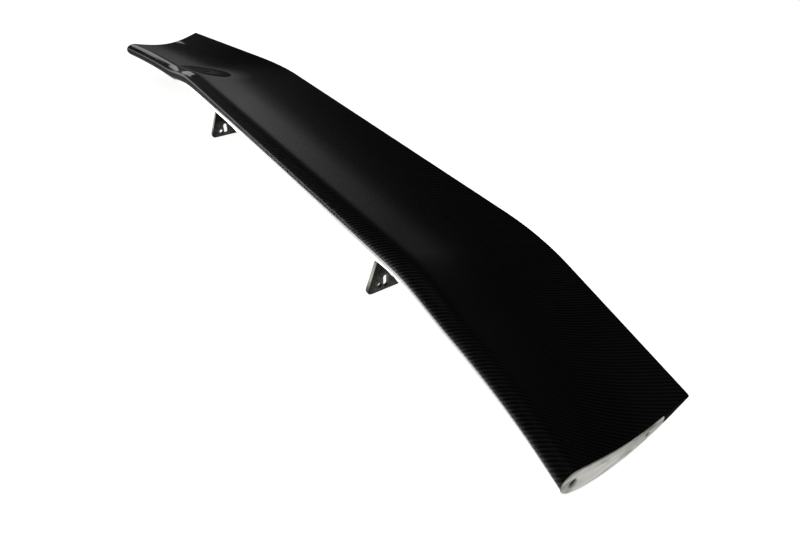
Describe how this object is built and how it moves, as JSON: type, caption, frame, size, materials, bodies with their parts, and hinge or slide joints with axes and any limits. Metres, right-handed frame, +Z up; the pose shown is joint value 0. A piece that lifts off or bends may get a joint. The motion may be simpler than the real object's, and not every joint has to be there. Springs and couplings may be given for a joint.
{
  "type": "racing rear wing",
  "caption": "Carbon-fibre racing rear wing: an aerofoil with a level centre, forward-swept twisted tips, pale end ribs and slotted mounting brackets.",
  "frame": {"origin": "under the middle of the wing, level with the lower edges of the two brackets", "axes": "+X along the span to the wing's left tip, -Y forwards to the rounded leading edge, +Z up"},
  "size_m": [1.552, 0.2881, 0.1179],
  "materials": {
    "gloss_carbon": "2x2 twill carbon laminate under clear gloss lacquer",
    "bare_carbon": "bare carbon laminate, satin",
    "adhesive": "dark structural adhesive",
    "machined_aluminium": "sanded, faintly streaked",
    "black_anodised": "black anodised, satin",
    "black_steel": "black oxide"
  },
  "bodies": {
    "root": {"upper_skin": "gloss_carbon", "lower_skin": "gloss_carbon", "leading_edge_lap_strip": "bare_carbon", "trailing_edge_filler": "adhesive", "front_spar": "bare_carbon", "rear_spar": "bare_carbon", "centre_rib": "bare_carbon", "kink_rib_left": "bare_carbon", "kink_rib_right": "bare_carbon", "bracket_block_left": "machined_aluminium", "bracket_block_right": "machined_aluminium", "end_rib_left": "machined_aluminium", "end_rib_right": "machined_aluminium", "mount_bracket_left": "black_anodised", "mount_bracket_right": "black_anodised", "bracket_screw_left_1": "black_steel", "bracket_screw_left_2": "black_steel", "bracket_screw_left_3": "black_steel", "bracket_screw_left_4": "black_steel", "bracket_screw_right_1": "black_steel", "bracket_screw_right_2": "black_steel", "bracket_screw_right_3": "black_steel", "bracket_screw_right_4": "black_steel"}
  },
  "joints": []
}
